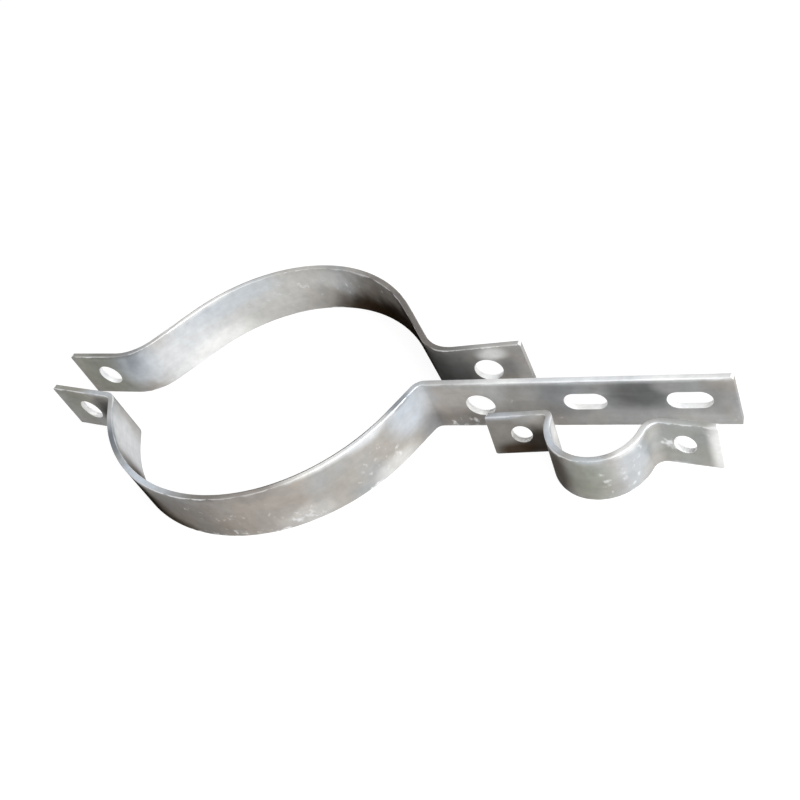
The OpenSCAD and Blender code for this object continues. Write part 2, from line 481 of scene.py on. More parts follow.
@dataclass(frozen=True)
class Patch:
    """A soft patch of tone on a strap, also for painted light and shade, in the clamp's frame. Lengths are
    in millimetres.

    Attributes:
        centre: Its middle.
        reach: How far it reaches along X, Y and Z.
        tone: The tone in its middle.
        strength: How much of that tone shows.
    """

    centre: Triple
    reach: Triple
    tone: Tone = Tone.WHITE
    strength: float = 1.0

    def mask(self, tree: ZincTree) -> Socket:
        """Gives how much of the patch shows, from 0 to its strength.

        Args:
            tree: The material's tree.

        Returns:
            The mask.
        """
        patch = tree.place(Pattern.PATCH, {
            "Centre": [length * MM for length in self.centre],
            "Reach": [length * MM for length in self.reach], "Raggedness": 0.5, "Scale": 45.0})
        return tree.math("MULTIPLY", patch["Mask"], self.strength)


@dataclass(frozen=True)
class PaintedShadeLine:
    """A painted shade line along the upper edge of a round seat, in the clamp's frame. Lengths are in
    millimetres.

    Attributes:
        centre: The seat's centre in plan.
        radius: Distance of the line from it.
        width: The line's width.
        level: The height above which it shows.
        stretch: The stretch that has it, with its tone.
    """

    centre: Point
    radius: float
    width: float
    level: float
    stretch: Patch

    def mask(self, tree: ZincTree) -> Socket:
        """Gives how much of the line shows, from 0 to its stretch's strength.

        Args:
            tree: The material's tree.

        Returns:
            The mask.
        """
        line = tree.place(Pattern.LINE, {
            "Centre": [self.centre[0] * MM, self.centre[1] * MM, 0.0], "Radius": self.radius * MM,
            "Width": self.width * MM, "Level": self.level * MM})
        return tree.math("MULTIPLY", line["Mask"], self.stretch.mask(tree))


@dataclass(frozen=True)
class ZincFinish:
    """A hot-dip zinc coat, weathered in patches to a satin grey, with painted light and shade in its
    patches too. Tones and shares run from 0 to 1.

    Attributes:
        name: The material's name.
        bar_height: The bar's height as it stands, in millimetres, for its scuffed edges.
        patches: Where the coat is darker or paler, in its own tones and as painted light and shade.
        splashes: Where bright splashes of zinc lie.
        lines: Dark lines of painted shade along the upper edge.
        seed: Shifts the patterns, so that the straps differ.
        cool: The coat's cooler tone.
        warm: The coat's warmer tone.
        bright: The tone of worn edges with their painted highlight, and of splashes.
        rubbing_and_highlight: How much of the bright tone the long edges show, as wear and as a painted
            highlight.
        splash_cover: How much of the bright tone a splash shows.
        mottle: How strong the fine mottle is.
        streaks: How strong the rolling streaks are.
        roughness: Its roughness in the hollows of the clouds and on their tops.
        bare_metal: How metallic the palest zinc is.
    """

    name: str
    bar_height: float
    patches: tuple[Patch, ...] = ()
    splashes: tuple[Patch, ...] = ()
    lines: tuple[PaintedShadeLine, ...] = ()
    seed: float = 0.0
    cool: Colour = (0.43, 0.44, 0.44)
    warm: Colour = (0.445, 0.415, 0.38)
    bright: Colour = (0.95, 0.96, 0.97)
    rubbing_and_highlight: float = 0.75
    splash_cover: float = 0.75
    mottle: float = 0.42
    streaks: float = 0.1
    roughness: Point = (0.34, 0.48)
    bare_metal: float = 0.5

    def build(self, patterns: dict[Pattern, Tree]) -> bpy.types.Material:
        """Makes the material.

        Args:
            patterns: The shared shader groups.

        Returns:
            The finished material.
        """
        material = bpy.data.materials.new(self.name)
        tree = ZincTree(material, patterns)
        shifted = tree.vector("ADD", tree.where, [self.seed * part for part in SEED_SHIFT])
        clouds = tree.place(Pattern.CLOUDS, {
            "Position": shifted, "Cloud Scale": 26.0, "Mottle Scale": 150.0, "Streak Scale": 420.0,
            "Cool": opaque(self.cool), "Warm": opaque(self.warm), "Mottle": self.mottle,
            "Streaks": self.streaks})
        splashes = tree.place(Pattern.SPLASHES, {
            "Position": shifted, "Scale": 210.0, "Amount": self._splash_amount(tree)})["Mask"]
        coat = self._coat(tree, clouds["Colour"], clouds["Shade"])
        splashed = tree.math("MULTIPLY", splashes, self.splash_cover)
        # Worn edges with their painted highlight, and the splashes, take the bright tone
        rubbed_and_highlit = tree.math("MAXIMUM", self._scuffs_and_highlights(tree, coat), splashed)
        colour = tree.mix(rubbed_and_highlit, coat, self.bright)
        # Pale zinc is bare metal, and darker zinc, darkened partly as painted shade, has a dull film on it
        bare = tree.ramp(tree.luminance(colour), low=0.05, high=0.6)
        rubbed_and_highlit_change = -0.08
        roughness = tree.math("MULTIPLY_ADD", rubbed_and_highlit, rubbed_and_highlit_change,
                              tree.between(clouds["Height"], *self.roughness))
        shader = tree.add("ShaderNodeBsdfPrincipled", {
            "Base Color": colour, "Roughness": roughness, "Specular IOR Level": 0.0,
            "Metallic": tree.math("MULTIPLY", bare, self.bare_metal),
            "Normal": self._relief(tree, clouds["Height"], splashes)})
        tree.add("ShaderNodeOutputMaterial", {"Surface": shader.outputs[0]})
        return material

    def _coat(self, tree: ZincTree, colour: Socket, shade: Socket) -> Socket:
        """Lays the patches and lines over the clouds of zinc, and the mottle over them all.

        Args:
            tree: The material's tree.
            colour: The clouds' colour.
            shade: The mottle, which the tones are multiplied by.

        Returns:
            The coat's colour.
        """
        # The patches hold painted light and shade as well as the coat's own tones, and the lines are
        # painted shade
        for patch in self.patches:
            colour = tree.mix(patch.mask(tree), colour, patch.tone.value)
        for line in self.lines:
            colour = tree.mix(line.mask(tree), colour, line.stretch.tone.value)
        return tree.vector_math("SCALE", {0: colour, "Scale": shade})["Vector"]

    def _splash_amount(self, tree: ZincTree) -> Socket | float:
        """Gives how many splashes there are at each place.

        Args:
            tree: The material's tree.

        Returns:
            The amount: 0 for none, 1 for many.
        """
        amount: Socket | float = 0.0
        for splash in self.splashes:
            amount = tree.math("MAXIMUM", amount, splash.mask(tree))
        return amount

    def _scuffs_and_highlights(self, tree: ZincTree, coat: Socket) -> Socket:
        """Gives how bright the long edges are made, as wear and as a painted highlight, less where the coat
        is dark.

        Args:
            tree: The material's tree.
            coat: The coat's colour.

        Returns:
            The mask.
        """
        edges = tree.place(Pattern.SCUFFS_AND_HIGHLIGHTS, {
            "Normal": tree.add("ShaderNodeNewGeometry").outputs["Normal"],
            "Bar Height": self.bar_height * MM, "Reach": 0.9 * MM, "Raggedness": 8.0 * MM, "Scale": 80.0})
        lit = tree.ramp(tree.luminance(coat), low=0.02, high=0.25)
        return tree.math("MULTIPLY", edges["Mask"], tree.math("MULTIPLY", lit, self.rubbing_and_highlight))

    @staticmethod
    def _relief(tree: ZincTree, clouds: Socket, splashes: Socket) -> Socket:
        """Gives the zinc its fine relief.

        Args:
            tree: The material's tree.
            clouds: The height of the clouds.
            splashes: The splashes' mask.

        Returns:
            The bumped normal.
        """
        grain_height = 0.16
        splash_height = 0.5
        grain = tree.noise(tree.where, scale=900.0, detail=3.0, roughness=0.6)
        height = tree.math("MULTIPLY_ADD", grain, grain_height, clouds)
        height = tree.math("MULTIPLY_ADD", splashes, splash_height, height)
        bump = tree.add("ShaderNodeBump", {"Height": height, "Strength": 0.2, "Distance": 0.25 * MM})
        return bump.outputs[0]


# Straps


@dataclass(frozen=True)
class StrapEnd:
    """How one end of a strap runs on from its seat. Lengths are in millimetres.

    Attributes:
        arc: Angle that the seat spans from its crown to this end, in degrees.
        flank: Straight length between the seat and the bend.
        bend: Inside radius of the reverse bend.
        splay: Angle by which the ear leans towards the seat's side, in degrees.
        ear: Length of the ear from the bend to its end.
    """

    arc: float
    flank: float
    bend: float
    splay: float
    ear: float


@dataclass(frozen=True)
class Punch:
    """A round hole or slot through an ear, in millimetres.

    Attributes:
        end: The ear that it is in.
        from_tip: Distance from the ear's end to its middle.
        height: Its height, and its diameter if it is round.
        length: Its length, end to end.
        rise: How far it sits above the middle of the bar.
    """

    end: End
    from_tip: float
    height: float
    length: float
    rise: float = 0.0

    def outline(self, along: float, up: float) -> list[Point]:
        """Draws its outline on the ear's face.

        Args:
            along: Where its middle is along the ear.
            up: Where its middle is up the ear's face.

        Returns:
            The outline's points, once round.
        """
        radius = self.height / 2
        flat = self.length / 2 - radius
        parts = HALF_TURN_PARTS
        points = []
        for half, offset in ((0, flat), (1, -flat)):
            for part in range(parts + 1 if flat > 0 else parts):
                angle = math.pi * (half + part / parts) - math.pi / 2
                points.append((along + offset + radius * math.cos(angle), up + radius * math.sin(angle)))
        return points


def build_bar_sweep() -> Tree:
    """Sweeps a flat bar with rounded edges along a drawn path.

    Returns:
        A geometry group whose input mesh is the path as a chain of edges.
    """
    inputs = {"Path": Kind.GEOMETRY, "Bar Width": Kind.VALUE, "Bar Thickness": Kind.VALUE,
              "Edge Radius": Kind.VALUE, "Edge Parts": Kind.WHOLE, "Finish": Kind.MATERIAL}
    tree = new_group("flat_bar_sweep", "GeometryNodeTree", inputs, {"Bar": Kind.GEOMETRY})
    given = tree.given()
    path = tree.add("GeometryNodeMeshToCurve", {"Mesh": given["Path"]}).outputs[0]
    section = tree.add("GeometryNodeCurvePrimitiveQuadrilateral",
                       {"Width": given["Bar Thickness"], "Height": given["Bar Width"]}).outputs[0]
    rounded = tree.add("GeometryNodeFilletCurve", {"Curve": section, "Radius": given["Edge Radius"]},
                       mode="POLY")
    tree.feed(rounded.inputs["Count"], given["Edge Parts"])
    bar = tree.add("GeometryNodeCurveToMesh",
                   {"Curve": path, "Profile Curve": rounded.outputs[0], "Fill Caps": True}).outputs[0]
    return tree.put_out({"Bar": tree.dressed(bar, given["Finish"])})


def add_object(name: str, data: bpy.types.ID) -> bpy.types.Object:
    """Makes an object and puts it in the scene.

    Args:
        name: The object's name.
        data: Its mesh, lamp or camera.

    Returns:
        The new object.
    """
    added = bpy.data.objects.new(name, data)
    bpy.context.scene.collection.objects.link(added)
    return added


def run_nodes(piece: bpy.types.Object, group: Tree, values: dict[str, object]) -> None:
    """Runs a geometry group on a piece and keeps the result as its plain mesh.

    Args:
        piece: The object whose mesh the group reads.
        group: The geometry node group.
        values: The group's inputs, by name.
    """
    modifier = piece.modifiers.new(group.name, "NODES")
    modifier.node_group = group
    for item in group.interface.items_tree:
        if item.in_out == "INPUT" and item.name in values:
            modifier[item.identifier] = values[item.name]
    keep_result(piece)


def keep_result(piece: bpy.types.Object) -> None:
    """Turns a piece's live modifiers into its plain mesh.

    Args:
        piece: The object whose modifiers are taken up.
    """
    bpy.context.view_layer.update()
    graph = bpy.context.evaluated_depsgraph_get()
    mesh = bpy.data.meshes.new_from_object(piece.evaluated_get(graph))
    old = piece.data
    piece.modifiers.clear()
    piece.data = mesh
    mesh.name = piece.name
    bpy.data.meshes.remove(old)


@dataclass(frozen=True)
class Strap:
    """One strap of the clamp, bent from flat bar. Lengths are in millimetres.

    Attributes:
        node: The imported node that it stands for.
        width: The bar's width.
        seat: Radius of the seat, against the pole or cable.
        bulge: Which way the seat bulges.
        turn: Turn seen from above, in degrees.
        left: The left end.
        right: The right end.
        punches: Its holes and slots.
        finish: Its zinc coat.
        lean: Angle from upright by which its faces lean away from the crown, in degrees.
        thickness: The bar's thickness.
        edge: Rounding along the bar's edges.
        corner: Radius of the corners of its cut ends.
        rim: Rounding of the rims of its holes and of its cut ends.
    """

    node: str
    width: float
    seat: float
    bulge: Bulge
    turn: float
    left: StrapEnd
    right: StrapEnd
    punches: tuple[Punch, ...]
    finish: ZincFinish
    lean: float = 0.0
    thickness: float = 4.0
    edge: float = 0.8
    corner: float = 1.5
    rim: float = 0.35

    @property
    def middle_radius(self) -> float:
        """Radius of the middle of the bar round the seat."""
        return self.seat + self.thickness / 2

    def end(self, which: End) -> StrapEnd:
        """Gives one of the two ends."""
        return self.left if which is End.LEFT else self.right

    def bend_centre(self, which: End) -> Point:
        """Finds the centre of an end's bend, on the +X side with the crown towards +Y.

        Args:
            which: The end.

        Returns:
            The centre in the strap's own plan.
        """
        end = self.end(which)
        arc = math.radians(end.arc)
        outer = self.middle_radius + end.bend + self.thickness / 2
        x = outer * math.sin(arc) + end.flank * math.cos(arc)
        y = outer * math.cos(arc) - end.flank * math.sin(arc)
        return x, y

    def bend_point(self, which: End, heading: float) -> Point:
        """Gives the place on an end's bend that has the given heading, in radians."""
        centre, bend = self.bend_centre(which), self.end(which).bend + self.thickness / 2
        return centre[0] + bend * math.sin(heading), centre[1] - bend * math.cos(heading)

    def side(self, which: End) -> list[Point]:
        """Draws the bar past its seat, through the bend to the end of the ear, on the +X side.

        Args:
            which: The end.

        Returns:
            Points along the middle of the bar, in the strap's own plan.
        """
        end = self.end(which)
        arc, splay = math.radians(end.arc), math.radians(end.splay)
        steps = math.ceil((end.arc + end.splay) / BEND_STEP)
        first = 0 if end.flank > 0 else 1
        headings = [(arc + splay) * step / steps - arc for step in range(first, steps + 1)]
        points = [self.bend_point(which, heading) for heading in headings]
        start = points[-1]
        points.append((start[0] + end.ear * math.cos(splay), start[1] + end.ear * math.sin(splay)))
        return points

    def path(self) -> list[Point]:
        """Draws the whole bar about the seat's centre.

        Returns:
            Points along the middle of the bar, from the left end to the right one.
        """
        whole_arc = self.left.arc + self.right.arc
        steps = math.ceil(whole_arc / SEAT_STEP)
        seat = []
        for step in range(steps + 1):
            angle = math.radians(whole_arc * step / steps - self.left.arc)
            seat.append((self.middle_radius * math.sin(angle), self.middle_radius * math.cos(angle)))
        left = [(-x, y) for x, y in reversed(self.side(End.LEFT))]
        return left + seat + self.side(End.RIGHT)

    def laid_out(self) -> Matrix:
        """Turns the strap as it lies, from its own plan to the clamp's, about its seat's centre."""
        mirror = Matrix.Diagonal((1, self.bulge.value, 1, 1))
        return Matrix.Rotation(math.radians(self.turn), 4, "Z") @ mirror

    def leaned(self) -> Matrix:
        """Leans the strap's upright faces away from its crown, in its own plan.

        Returns:
            The change that keeps the bar's width along its face.
        """
        lean = Matrix.Identity(4)
        lean[1][2] = -math.sin(math.radians(self.lean))
        lean[2][2] = math.cos(math.radians(self.lean))
        return lean

    def ear_frame(self, which: End) -> Matrix:
        """Places an ear's own frame, X along it and Z up its face, in the strap's own plan.

        Args:
            which: The end that the ear is at.

        Returns:
            The frame, with its origin where the bend ends.
        """
        splay, lean = math.radians(self.end(which).splay), math.radians(self.lean)
        slope = math.atan(math.tan(lean) * math.cos(splay))
        start = Matrix.Translation((*self.bend_point(which, splay), 0.0))
        ear = start @ Matrix.Rotation(splay, 4, "Z") @ Matrix.Rotation(slope, 4, "X")
        return Matrix.Diagonal((which.value, 1, 1, 1)) @ ear

    def corner_outlines(self, which: End) -> list[list[Point]]:
        """Draws what comes off the two corners of an ear's end.

        Args:
            which: The end that the ear is at.

        Returns:
            The outlines at the lower and the upper corner, along the ear and up its face.
        """
        end, radius = self.end(which), self.corner
        slide = self.width * math.sin(math.radians(self.lean)) * math.sin(math.radians(end.splay))
        turns = [math.pi / 2 * part / CORNER_PARTS for part in range(CORNER_PARTS + 1)]
        outlines = []
        for tip, level, up in ((end.ear, 0.0, -1), (end.ear - slide, self.width, 1)):
            arc = [(tip - radius + radius * math.cos(turn), level + up * radius * (math.sin(turn) - 1))
                   for turn in turns]
            beyond, outside = level + up * OVERSHOOT, tip + OVERSHOOT
            outlines.append(arc + [(tip - radius, beyond), (outside, beyond), (outside, arc[0][1])])
        return outlines

    def build(self, sweep: Tree, material: bpy.types.Material,
              hole_material: bpy.types.Material) -> bpy.types.Object:
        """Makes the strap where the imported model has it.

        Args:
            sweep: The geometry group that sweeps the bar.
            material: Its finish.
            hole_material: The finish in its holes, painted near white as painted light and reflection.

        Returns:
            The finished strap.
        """
        turned = self.laid_out()
        path = [turned @ Vector((x, y, self.width / 2)) * MM for x, y in self.path()]
        plan = bpy.data.meshes.new(self.node + "_path")
        plan.from_pydata(path, [(i, i + 1) for i in range(len(path) - 1)], [])
        strap = add_object(self.node + "_zinc", plan)
        run_nodes(strap, sweep, {
            "Bar Width": self.width * MM, "Bar Thickness": self.thickness * MM,
            "Edge Radius": self.edge * MM, "Edge Parts": EDGE_PARTS, "Finish": material})
        strap.data.transform(turned @ self.leaned() @ turned.inverted())
        self._punch(strap, turned, hole_material)
        self._set_down(strap)
        self._soften(strap)
        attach(strap, BODY)
        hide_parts(self.node)
        return strap

    def _punch(self, strap: bpy.types.Object, turned: Matrix, hole_material: bpy.types.Material) -> None:
        """Cuts the holes and slots, and takes the sharp corners off the ends.

        Args:
            strap: The swept bar.
            turned: The turn from the strap's own plan to the clamp's.
            hole_material: The finish of the cut faces, painted near white as painted light and reflection.
        """
        shapes = bmesh.new()
        for which in End:
            place = turned @ self.ear_frame(which)
            for outline in self.corner_outlines(which):
                self._add_cutter(shapes, outline, place)
            for punch in (p for p in self.punches if p.end is which):
                along = self.end(which).ear - punch.from_tip
                self._add_cutter(shapes, punch.outline(along, self.width / 2 + punch.rise), place)
        bmesh.ops.recalc_face_normals(shapes, faces=shapes.faces)
        mesh = bpy.data.meshes.new(self.node + "_punches")
        shapes.to_mesh(mesh)
        shapes.free()
        mesh.materials.append(hole_material)
        tool = add_object(mesh.name, mesh)
        cut = strap.modifiers.new("punch", "BOOLEAN")
        cut.operation = "DIFFERENCE"
        cut.solver = "EXACT"
        cut.material_mode = "TRANSFER"
        cut.object = tool
        keep_result(strap)
        bpy.data.objects.remove(tool)
        bpy.data.meshes.remove(mesh)

    def _add_cutter(self, shapes: bmesh.types.BMesh, outline: list[Point], place: Matrix) -> None:
        """Adds the prism that has an outline on an ear's face.

        Args:
            shapes: The mesh that collects the prisms.
            outline: The outline, along the ear and up its face, in millimetres.
            place: The ear's frame in the clamp's plan.
        """
        depth = 2 * self.thickness
        near, far = (
            [shapes.verts.new(place @ Vector((along, across, up)) * MM) for along, up in outline]
            for across in (-depth, depth))
        shapes.faces.new(near)
        shapes.faces.new(reversed(far))
        for i, vert in enumerate(near):
            j = (i + 1) % len(near)
            shapes.faces.new((vert, far[i], far[j], near[j]))

    def _set_down(self, strap: bpy.types.Object) -> None:
        """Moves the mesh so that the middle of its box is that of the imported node's.

        Args:
            strap: The punched bar.
        """
        low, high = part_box(self.node)
        corners = [vertex.co for vertex in strap.data.vertices]
        middle = Vector([(min(c[i] for c in corners) + max(c[i] for c in corners)) / 2 for i in range(3)])
        strap.data.transform(Matrix.Translation((low + high) / 2 - middle))

    def _soften(self, strap: bpy.types.Object) -> None:
        """Rounds the rims and cut ends, and smooths the shading between sharp edges.

        Args:
            strap: The punched bar.
        """
        bevel = strap.modifiers.new("rims", "BEVEL")
        bevel.width = self.rim * MM
        bevel.segments = RIM_PARTS
        bevel.limit_method = "ANGLE"
        bevel.angle_limit = math.radians(RIM_ANGLE)
        keep_result(strap)
        strap.data.shade_smooth()
        strap.data.set_sharp_from_angle(angle=math.radians(SHARP_ANGLE))


# Beads


@dataclass(frozen=True)
class ZincBeads:
    """Small beads of zinc that the dip left on a strap, in millimetres.

    Attributes:
        name: The piece's name.
        per_square_cm: How many beads lie on a square centimetre of the strap.
        size: Radius of the largest bead.
        low: Lowest corner of the stretch that has them, in the clamp's frame.
        high: Its highest corner.
        seed: The scatter's seed.
    """

    name: str
    per_square_cm: float
    size: float
    low: Vector
    high: Vector
    seed: int

    def build(self, strap: bpy.types.Object, group: Tree, material: bpy.types.Material) -> bpy.types.Object:
        """Scatters the beads on a finished strap.

        Args:
            strap: The strap that they sit on.
            group: The geometry group that scatters them.
            material: Their finish.

        Returns:
            The beads as one piece.
        """
        beads = add_object(self.name, strap.data.copy())
        run_nodes(beads, group, {
            "Density": self.per_square_cm * SQUARE_CM_PER_SQUARE_M, "Bead Radius": self.size * MM,
            "Low": self.low * MM, "High": self.high * MM, "Finish": material, "Seed": self.seed})
        beads.data.shade_smooth()
        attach(beads, BODY)
        return beads


def build_bead_scatter() -> Tree:
    """Scatters flattened beads over the part of a surface that lies in a box.

    Returns:
        A geometry group that puts out only the beads.
    """
    inputs = {"Surface": Kind.GEOMETRY, "Density": Kind.VALUE, "Bead Radius": Kind.VALUE,
              "Low": Kind.VECTOR, "High": Kind.VECTOR, "Finish": Kind.MATERIAL, "Seed": Kind.WHOLE}
    tree = new_group("zinc_beads", "GeometryNodeTree", inputs, {"Beads": Kind.GEOMETRY})
    given = tree.given()
    scatter = tree.add("GeometryNodeDistributePointsOnFaces", {
        "Mesh": given["Surface"], "Density": given["Density"], "Seed": given["Seed"]})
    place = tree.add("GeometryNodeInputPosition").outputs[0]
    inside: Socket | float = 1.0
    for high, low in ((place, given["Low"]), (given["High"], place)):
        margin = tree.vector("SUBTRACT", high, low)
        for length in tree.add("ShaderNodeSeparateXYZ", {0: margin}).outputs:
            inside = tree.math("MULTIPLY", inside, tree.math("GREATER_THAN", length, 0.0))
    ball = tree.add("GeometryNodeMeshIcoSphere", {"Radius": 1.0, "Subdivisions": BEAD_DIVISIONS}).outputs[0]
    flat = tree.add("GeometryNodeTransform", {"Geometry": ball, "Scale": (1.0, 1.0, BEAD_FLATNESS)})
    draw = tree.add("FunctionNodeRandomValue", {"Seed": given["Seed"]})
    share = next(socket for socket in draw.outputs if socket.type == "VALUE")
    size = tree.math("MULTIPLY", tree.between(share, SMALLEST_BEAD, 1.0), given["Bead Radius"])
    beads = tree.add("GeometryNodeInstanceOnPoints", {
        "Points": scatter.outputs["Points"], "Selection": inside, "Instance": flat.outputs[0],
        "Rotation": scatter.outputs["Rotation"], "Scale": size}).outputs[0]
    return tree.put_out({"Beads": tree.dressed(beads, given["Finish"])})


# Studio


@dataclass(frozen=True)
class StudioCamera:
    """The photograph's point of view. Lengths are in millimetres and angles in degrees.

    Attributes:
        focal_pixels: Focal length in pixels of a picture of frame_pixels.
        frame_pixels: Width and height of the picture.
        azimuth: Turn of the view; at 0 it looks along +Y.
        elevation: Height of the camera above the horizon.
        roll: Turn of the camera about its own line of sight, clockwise.
        target: The point on the floor in the middle of the picture.
        distance: Distance from that point.
    """

    focal_pixels: float = 1134.6
    frame_pixels: float = 800.0
    azimuth: float = 38.03
    elevation: float = 42.86
    roll: float = 28.93
    target: Point = (20.96, 8.7)
    distance: float = 750.15

    def build(self) -> None:
        """Makes the camera and sets it as the scene's."""
        azimuth, elevation, roll = (math.radians(a) for a in (self.azimuth, self.elevation, self.roll))
        ahead = Vector((-math.sin(azimuth) * math.cos(elevation), math.cos(azimuth) * math.cos(elevation),
                        -math.sin(elevation)))
        level = Vector((math.cos(azimuth), math.sin(azimuth), 0.0))
        down = ahead.cross(level)
        right = math.cos(roll) * level + math.sin(roll) * down
        up = math.sin(roll) * level - math.cos(roll) * down
        data = bpy.data.cameras.new("studio_camera")
        data.sensor_width = 36.0
        data.lens = data.sensor_width * self.focal_pixels / self.frame_pixels
        data.clip_start = 0.01
        camera = add_object("studio_camera", data)
        place = Vector((*self.target, 0.0)) - ahead * self.distance
        facing = Matrix((right, up, -ahead)).transposed().to_4x4()
        camera.matrix_world = Matrix.Translation(place * MM) @ facing
        bpy.context.scene.camera = camera


@dataclass(frozen=True)
class SoftLight:
    """A rectangular lamp aimed at the clamp.

    Attributes:
        name: The lamp's name.
        place: Where it hangs, in metres.
        size: Its width and height, in metres.
        power: Its power in watts.
        colour: Its colour.
    """

    name: str
    place: Triple
    size: Point
    power: float
    colour: Colour = PURE_WHITE

    def build(self) -> None:
        """Hangs the lamp and aims it at the middle of the clamp."""
        data = bpy.data.lights.new(self.name, "AREA")
        data.shape = "RECTANGLE"
        data.size, data.size_y = self.size
        data.energy = self.power
        data.color = self.colour
        lamp = add_object(self.name, data)
        lamp.location = self.place
        lamp.rotation_euler = (-Vector(self.place)).to_track_quat("-Z", "Y").to_euler()


@dataclass(frozen=True)
class Studio:
    """The white floor, the room round it and the lamps. The room is lighter on the arm's side.

    Attributes:
        lamps: The lamps.
        bright: The room's tone on its lighter side.
        dim: The room's tone on its darker side.
        lit_from: Direction of the room's lighter side.
        floor_size: The floor's width, in metres.
        floor_tone: The floor's own tone, which takes the shadow.
        floor_white: How much white the floor adds to it where it is seen.
    """

    lamps: tuple[SoftLight, ...] = (
        SoftLight("key_lamp", (1.4, -0.7, 0.65), (0.9, 0.9), 23.0, (0.98, 0.99, 1.0)),
        SoftLight("top_lamp", (0.3, 0.1, 1.8), (1.2, 1.2), 8.0),
    )
    bright: Colour = (0.60, 0.61, 0.62)
    dim: Colour = (0.02, 0.015, 0.012)
    lit_from: Triple = (0.83, -0.53, 0.2)
    floor_size: float = 12.0
    floor_tone: Colour = (0.24, 0.235, 0.23)
    floor_white: float = 0.92

    def build(self) -> None:
        """Builds the whole studio."""
        self._floor()
        self._world()
        for lamp in self.lamps:
            lamp.build()

    @staticmethod
    def _shows_white(tree: NodeTree) -> Socket:
        """Marks the rays that see the white background: from the camera, off metal, through glass.

        Args:
            tree: The tree of the floor's material or of the world.

        Returns:
            1 for those rays, and 0 for the rest.
        """
        rays = tree.add("ShaderNodeLightPath").outputs
        seen = tree.math("ADD", rays["Is Camera Ray"], rays["Is Glossy Ray"])
        return tree.math("ADD", seen, rays["Is Transmission Ray"], clamp=True)

    def _floor(self) -> None:
        """Lays a floor that reads as white and still takes the clamp's shadow."""
        half = self.floor_size / 2
        corners = [(-half, -half, 0), (half, -half, 0), (half, half, 0), (-half, half, 0)]
        mesh = bpy.data.meshes.new("studio_floor")
        mesh.from_pydata(corners, [], [(0, 1, 2, 3)])
        floor = add_object("studio_floor", mesh)
        material = bpy.data.materials.new("studio_floor")
        tree = NodeTree.of(material)
        matt = tree.add("ShaderNodeBsdfDiffuse", {"Color": opaque(self.floor_tone)}).outputs[0]
        seen = tree.math("MULTIPLY", self._shows_white(tree), self.floor_white)
        glow = tree.add("ShaderNodeEmission", {"Color": opaque(PURE_WHITE), "Strength": seen}).outputs[0]
        surface = tree.add("ShaderNodeAddShader", {0: matt, 1: glow}).outputs[0]
        tree.add("ShaderNodeOutputMaterial", {"Surface": surface})
        mesh.materials.append(material)

    def _world(self) -> None:
        """Lights the room softly, lighter on one side, behind a white that the camera and the metal see."""
        world = bpy.data.worlds.new("studio_world")
        bpy.context.scene.world = world
        tree = NodeTree.of(world)
        direction = tree.add("ShaderNodeTexCoord").outputs["Generated"]
        towards = tree.measure("DOT_PRODUCT", direction, self.lit_from)
        sky = tree.mix(tree.ramp(towards, low=-0.3, high=1.0), self.dim, self.bright)
        room = tree.add("ShaderNodeBackground", {"Color": sky, "Strength": 1.0}).outputs[0]
        white = tree.add("ShaderNodeBackground", {"Color": opaque(PURE_WHITE), "Strength": 1.0}).outputs[0]
        mixed = tree.add("ShaderNodeMixShader", {0: self._shows_white(tree), 1: room, 2: white}).outputs[0]
        tree.add("ShaderNodeOutputWorld", {"Surface": mixed})


# The clamp

# Width of the two bands' bar, in millimetres
BAND_WIDTH = 40.0

